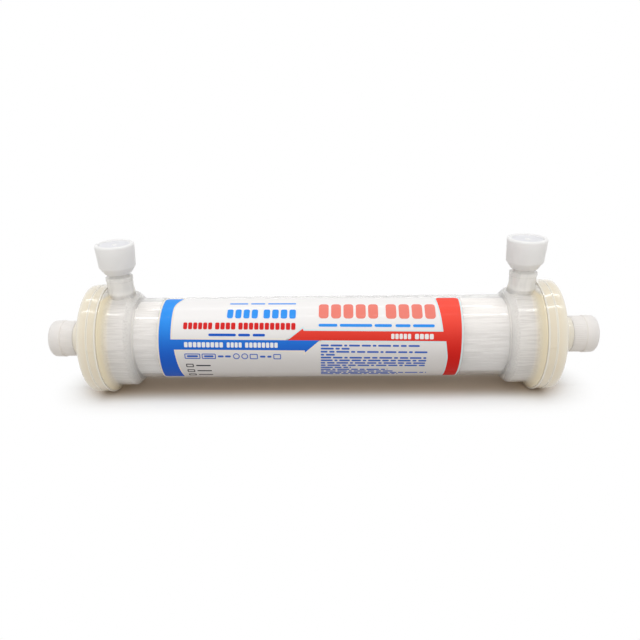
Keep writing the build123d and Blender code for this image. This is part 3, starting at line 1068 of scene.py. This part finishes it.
def wrapped(name, outlines, rise, thickness, material, stroke=0.0):
    """Flat outlines in the label's own (x, distance up) space, as thin plates wrapped round the tube.

    With a stroke, each outline becomes a frame of that width.
    """
    label, tube_r = sizes("label"), sizes("tube").tube_r
    bm = bmesh.new()
    for outline in outlines:
        face = bm.faces.new([bm.verts.new((p[0], p[1], 0)) for p in outline])
        if stroke:
            face.normal_update()
            bmesh.ops.inset_individual(bm, faces=[face], thickness=stroke, use_even_offset=True)
            bmesh.ops.delete(bm, geom=[face], context="FACES_ONLY")
    askew = Matrix.Translation((0, label.meeting * tube_r, 0)) @ Matrix.Rotation(label.turn, 4, "Z")
    bmesh.ops.transform(bm, matrix=askew, verts=bm.verts)
    bmesh.ops.triangulate(bm, faces=bm.faces)
    low = min(v.co.y for v in bm.verts)
    high = max(v.co.y for v in bm.verts)
    step = tube_r * math.radians(STRIP_DEGREES)
    for k in range(math.ceil(low / step), math.floor(high / step) + 1):
        everything = bm.verts[:] + bm.edges[:] + bm.faces[:]
        bmesh.ops.bisect_plane(bm, geom=everything, dist=1e-7, plane_co=(0, k * step, 0), plane_no=(0, 1, 0))
    bmesh.ops.recalc_face_normals(bm, faces=bm.faces)
    made = bmesh.ops.extrude_face_region(bm, geom=bm.faces[:])
    top = [v for v in made["geom"] if isinstance(v, bmesh.types.BMVert)]
    bmesh.ops.translate(bm, vec=(0, 0, thickness), verts=top)
    for vert in bm.verts:
        turn = vert.co.y / tube_r
        radius = tube_r + rise + vert.co.z
        vert.co = (vert.co.x, -radius * math.cos(turn), radius * math.sin(turn) + axis_height())
    bmesh.ops.recalc_face_normals(bm, faces=bm.faces)
    return finished(name, bm, material)


# Layers of ink on the film, from the lowest.
OUTLINES = 1
ARROWS = 2
WORDS = 3


def printed(name, outlines, layer, material, stroke=0.0):
    """Shapes in one layer of ink, which starts just inside the film."""
    label = sizes("label")
    height = (layer + 1) * label.ink
    piece = wrapped(name, outlines, label.thickness - label.ink, height, material, stroke)


def grown(points, margin):
    """The same outline with its straight sides moved outwards by a margin."""
    total = len(points)
    moved_out = []
    for i, (x, y, radius) in enumerate(points):
        here = Vector((x, y))
        before = (here - Vector(points[i - 1][:2])).normalized()
        after = (Vector(points[(i + 1) % total][:2]) - here).normalized()
        outward = Vector((-before.y, before.x)) + Vector((-after.y, after.x))
        bulge = 1 if before.cross(after) < 0 else -1
        place = here + outward * 2 * margin / outward.length_squared
        moved_out.append((place.x, place.y, max(0.0, radius + bulge * margin) if radius else 0))
    return moved_out


def in_mm(points):
    """Outline points in metres from points in millimetres."""
    return [tuple(value * MM for value in point) for point in points]


def blocks(row, width, gap):
    """The same row with each bar cut into even blocks of about one width."""
    cut = [row[0]]
    for start, end in row[1:]:
        total = max(1, round((end - start + gap) / (width + gap)))
        pitch = (end - start + gap) / total
        cut += [(start + k * pitch, start + (k + 1) * pitch - gap) for k in range(total)]
    return tuple(cut)


def bars(rows, height, ends=ROUND_END):
    """Bars with rounded corners, from rows of (distance up, (start, end), ...) in millimetres."""
    outlines = []
    for row in rows:
        middle = row[0]
        for start, end in row[1:]:
            low, high = middle - height / 2, middle + height / 2
            points = [(start, high, height * ends), (end, high, height * ends),
                      (end, low, height * ends), (start, low, height * ends)]
            outlines.append(rounded(in_mm(points), turns=4))
    return outlines


class DIALYSER_OT_label(bpy.types.Operator):
    """Build the label film and its two printed arrows"""

    bl_idname = "dialyser.label"
    bl_label = "Label"

    def blue_arrow(self, label):
        """Upright and bar of the blue arrow, clockwise from its upper left corner."""
        top, low, bar = label.arrow_top / MM, label.arrow_low / MM, label.blue_bar / MM
        return in_mm([
            (-84.0, top, 2.0), (-74.3, top, 0), (-77.9, 20.0, 14.0), (-77.9, 0.0, 0), (0.0, 0.0, 0),
            (-7.6, bar - label.barb / MM, 0), (-7.7, bar, 0),
            (-76.3, bar, 0), (-73.8, low, 0), (-84.4, low, 1.2),
        ])

    def red_arrow(self, label):
        """Upright and bar of the red arrow, clockwise from its upper left corner."""
        top, low, bar = label.arrow_top / MM, label.arrow_low / MM, label.red_bar / MM
        return in_mm([
            (61.3, top, 1.6), (73.3, top, 2.0), (73.2, low, 1.2), (66.6, low, 0),
            (66.7, -9.0, 8.0), (65.3, 0.0, 0),
            (-16.5, 0.0, 0), (-8.8, bar + label.barb / MM, 0), (-8.3, bar, 0), (63.8, bar, 0),
        ])

    def execute(self, context):
        label, colours = sizes("label"), sizes("finish")
        sheet = [(label.left_x, label.high, label.corner), (label.right_x, label.high, label.corner),
                 (label.right_x, label.low, label.corner), (label.left_x, label.low, label.corner)]
        bare = film("label_film", colours.film_painted_shade, colours.film)
        piece = wrapped("label_film", [rounded(sheet)], 0, label.thickness, bare)
        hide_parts("label")
        blue, red = self.blue_arrow(label), self.red_arrow(label)
        layers = [
            ("blue_outline", grown(blue, label.margin), ink("cream_ink", colours.cream), OUTLINES),
            ("red_outline", grown(red, label.margin), ink("cyan_ink", colours.cyan), OUTLINES),
            ("blue_arrow", blue, arrow_ink("blue_ink", colours.blue, colours.blue_light), ARROWS),
            ("red_arrow", red, arrow_ink("red_ink", colours.red, colours.red_light), ARROWS),
        ]
        for name, outline, material, layer in layers:
            printed(name, [rounded(outline)], layer, material)
        return {"FINISHED"}


class DIALYSER_OT_small_print(bpy.types.Operator):
    """Build the plain bars and frames that stand where the label's print is"""

    bl_idname = "dialyser.small_print"
    bl_label = "Small print"

    def execute(self, context):
        colours = sizes("finish")
        white, bright = colours.white, colours.blue_light
        # Name, row, height, block width, gap and colour of each row of blocks, in millimetres.
        block_rows = [
            ("title_blocks", (16.4, (-0.6, 30.4), (34.4, 60.2)), 9.4, 5.0, 1.3, colours.rose),
            ("subtitle_blocks", (7.2, (-71.4, -56.2), (-54.6, -44.0), (-42.4, -12.6)), 3.7, 2.2, 0.55,
             colours.crimson),
            ("grade_blocks", (14.3, (-48.8, -32.6), (-29.6, -12.6)), 5.6, 3.2, 1.1, bright),
            ("blue_bar_blocks", (-2.7, (-70.8, -50.4), (-48.4, -40.6), (-38.8, -21.8)), 2.7, 1.75, 0.5,
             white),
            ("red_bar_blocks", (2.3, (37.0, 47.2), (49.2, 58.8)), 2.7, 1.75, 0.5, white),
        ]
        for name, row, height, width, gap, shade in block_rows:
            outlines = bars([blocks(row, width, gap)], height, BLOCK_END)
            printed(name, outlines, WORDS, ink(name + "_ink", shade))
        mark_places = (-15.2, -19.6, -24.0)
        # Name, rows, height and colour of each group of plain bars, in millimetres.
        word_bars = [
            ("norm_bars", [(21.6, (-48.2, -38.4), (-36.9, -29.3), (-27.8, -12.8))], 0.9, bright),
            ("area_bars", [(2.5, (-58.0, -43.6), (-42.4, -36.2), (-34.8, -28.4))], 1.35, colours.blue),
            ("pressure_bars", [(7.9, (-0.6, 9.2), (10.4, 27.2), (28.4, 37.4), (39.2, 47.0), (48.2, 59.4))],
             1.5, bright),
            ("fine_lines", self.fine_lines(), 0.95, colours.navy),
            ("mark_lines", [(place, (-65.6, -57.8)) for place in mark_places], 0.8, colours.dark),
        ]
        for name, rows, height, shade in word_bars:
            printed(name, bars(rows, height), WORDS, ink(name + "_ink", shade))
        self.frames(ink("frame_ink", colours.navy))
        marks = bars([(place, (-70.9, -66.9)) for place in mark_places], 2.4, BLOCK_END)
        printed("marks", marks, WORDS, ink("mark_ink", colours.dark), stroke=0.5 * MM)
        return {"FINISHED"}

    def frames(self, navy):
        """A line of plain frames and rings, some with short bars in or between them."""
        line, frame_height, ring_height, bar_height, stroke = -9.1, 3.1, 3.4, 1.1, 0.45 * MM
        boxes = (line, (-71.0, -62.7), (-61.9, -54.5), (-36.6, -32.4), (-24.2, -20.2))
        rings = (line + 0.1, (-45.4, -41.9), (-41.0, -37.5))
        outlines = bars([boxes], frame_height, BLOCK_END) + bars([rings], ring_height)
        printed("frames", outlines, WORDS, navy, stroke)
        words = (line, (-69.8, -63.9), (-60.7, -55.7), (-53.4, -50.4), (-49.6, -46.6), (-31.2, -28.4),
                 (-27.4, -25.2))
        printed("frame_bars", bars([words], bar_height), WORDS, navy)

    def fine_lines(self):
        """Evenly spaced lines of fine print, some ending short, with words of uneven width."""
        first, pitch, start, gap = -2.6, 1.72, 0.6, 0.9
        width_mean, width_change, word_turn, line_turn = 4.2, 2.6, 2.3, 1.7
        ends = (51.8, 15.6, 56.2, 8.0, 55.8, 55.8, 55.4, 55.4, 16.4, 36.0, 39.0, 57.0, 42.0)
        rows = []
        for line, end in enumerate(ends):
            row = [first - line * pitch]
            x = start
            word = 0
            while x < end:
                width = width_mean + width_change * math.sin(word_turn * word + line_turn * line)
                row.append((x, min(end, x + width)))
                x += width + gap
                word += 1
            rows.append(tuple(row))
        return rows


class DIALYSER_OT_stage(bpy.types.Operator):
    """Set the floor, the lamps, the sky and the camera"""

    bl_idname = "dialyser.stage"
    bl_label = "Stage"

    def execute(self, context):
        self.floor()
        self.lamps()
        self.sky(context)
        self.camera(context)
        context.scene.view_settings.view_transform = "Standard"
        return {"FINISHED"}

    def floor(self):
        """A white floor that keeps the object's shadow, with a painted darker and warmer shadow along the
        tube's line, and fades to plain white away from it.
        """
        stage = sizes("stage")
        bm = bmesh.new()
        bmesh.ops.create_grid(bm, x_segments=1, y_segments=1, size=stage.floor_half)
        mesh = bpy.data.meshes.new("floor")
        bm.to_mesh(mesh)
        bm.free()
        floor = bpy.data.objects.new("floor", mesh)
        bpy.context.scene.collection.objects.link(floor)
        finish = Finish("white_floor", {"Roughness": 0.9, "Specular IOR Level": 0.1})
        seen = Wire(finish, seen_rays(finish.tree))
        x, y, _ = finish.axes(finish.place())
        beyond = (x.size() - stage.floor_line).most(0)
        reach = (beyond * beyond + y * y).power(0.5)
        # The floor near the tube's line is painted darker and warmer as a shadow.
        lit = reach.between(stage.floor_near / 2, 3 * stage.floor_near)
        shown = finish.blend(lit, stage.floor_painted_shadow, stage.floor)
        finish.feed("Base Color", finish.blend(seen, stage.floor_bounce, shown))
        away = reach.between(stage.floor_near, stage.floor_far)
        finish.cover(seen * away, finish.node("ShaderNodeEmission"))
        mesh.materials.append(finish.material)

    def lamp(self, name, place, aim, width, depth, watts):
        """A rectangular area lamp that points at its aim."""
        light = bpy.data.lights.new(name, "AREA")
        light.shape = "RECTANGLE"
        light.size = width
        light.size_y = depth
        light.energy = watts
        lamp = bpy.data.objects.new(name, light)
        lamp.location = place
        lamp.rotation_euler = (Vector(aim) - Vector(place)).to_track_quat("-Z", "Y").to_euler()
        bpy.context.scene.collection.objects.link(lamp)
        return lamp

    def lamps(self):
        """Two strips that draw the bright lines along the tube, and a soft box that gloss doesn't show."""
        stage = sizes("stage")
        centre = Vector((0, 0, axis_height()))
        for name, elevation in (("strip_front", stage.strip_front), ("strip_back", stage.strip_back)):
            reach = stage.strip_height / math.sin(elevation)
            place = centre + Vector((0, -reach * math.cos(elevation), reach * math.sin(elevation)))
            self.lamp(name, place, centre, stage.strip_length, stage.strip_width, stage.strip_power)
        place = (0, stage.soft_y, stage.soft_z)
        soft = self.lamp("soft_box", place, centre, stage.soft_width, stage.soft_depth, stage.soft_power)
        soft.visible_glossy = False
        soft.visible_transmission = False

    def sky(self, context):
        """Even light from all round, plain white where it is seen."""
        world = bpy.data.worlds.new("even_sky")
        context.scene.world = world
        world.use_nodes = True
        tree = world.node_tree
        background = tree.nodes["Background"]
        background.inputs[0].default_value = (1, 1, 1, 1)
        strength = tree.nodes.new("ShaderNodeMapRange")
        strength.inputs["To Min"].default_value = sizes("stage").sky
        strength.inputs["To Max"].default_value = 1.0
        tree.links.new(seen_rays(tree), strength.inputs["Value"])
        tree.links.new(strength.outputs[0], background.inputs[1])

    def towards(self, azimuth, elevation):
        """The direction that is turned by an azimuth from -Y and raised by an elevation."""
        level = math.cos(elevation)
        return Vector((math.sin(azimuth) * level, -math.cos(azimuth) * level, math.sin(elevation)))

    def camera(self, context):
        """The camera, from its angles about the tube and its own aim, roll and shift."""
        stage = sizes("stage")
        camera = bpy.data.cameras.new("camera")
        camera.lens = stage.focal
        camera.sensor_width = 36
        camera.shift_x = stage.shift_x
        camera.shift_y = stage.shift_y
        camera.clip_start = 10 * MM
        eye = bpy.data.objects.new("camera", camera)
        place = self.towards(stage.azimuth, stage.elevation) * stage.distance
        place.z += axis_height()
        back = self.towards(stage.pan, stage.pitch)
        right = Vector((math.cos(stage.pan), math.sin(stage.pan), 0))
        up = back.cross(right)
        rolled = Matrix.Rotation(stage.roll, 3, back)
        right, up = rolled @ right, rolled @ up
        axes = Matrix((right, up, back)).transposed().to_4x4()
        eye.matrix_world = Matrix.Translation(place) @ axes
        context.scene.collection.objects.link(eye)
        context.scene.camera = eye


class DIALYSER_PT_panel(bpy.types.Panel):
    """Lists the dialyser's pieces and settings"""

    bl_label = "Dialyser"
    bl_idname = "DIALYSER_PT_panel"
    bl_space_type = "VIEW_3D"
    bl_region_type = "UI"
    bl_category = "Dialyser"

    def draw(self, context):
        for operator in OPERATORS:
            self.layout.operator(operator.bl_idname)
        for name in GROUPS:
            box = self.layout.box()
            box.label(text=name.capitalize())
            group = sizes(name)
            for key in group.bl_rna.properties.keys():
                if key not in ("rna_type", "name"):
                    box.prop(group, key)


OPERATORS = (
    DIALYSER_OT_housing,
    DIALYSER_OT_fibres,
    DIALYSER_OT_ends,
    DIALYSER_OT_headers,
    DIALYSER_OT_blood_caps,
    DIALYSER_OT_port_caps,
    DIALYSER_OT_label,
    DIALYSER_OT_small_print,
    DIALYSER_OT_stage,
)


def register():
    for group in GROUPS.values():
        bpy.utils.register_class(group)
    for name, group in GROUPS.items():
        setattr(bpy.types.Scene, "dialyser_" + name, PointerProperty(type=group))
    for item in OPERATORS + (DIALYSER_PT_panel,):
        bpy.utils.register_class(item)


def unregister():
    for item in OPERATORS + (DIALYSER_PT_panel,):
        bpy.utils.unregister_class(item)
    for name, group in GROUPS.items():
        delattr(bpy.types.Scene, "dialyser_" + name)
        bpy.utils.unregister_class(group)


def main():
    register()
    for operator in OPERATORS:
        group, name = operator.bl_idname.split(".")
        getattr(getattr(bpy.ops, group), name)()


if __name__ == "__main__":
    main()
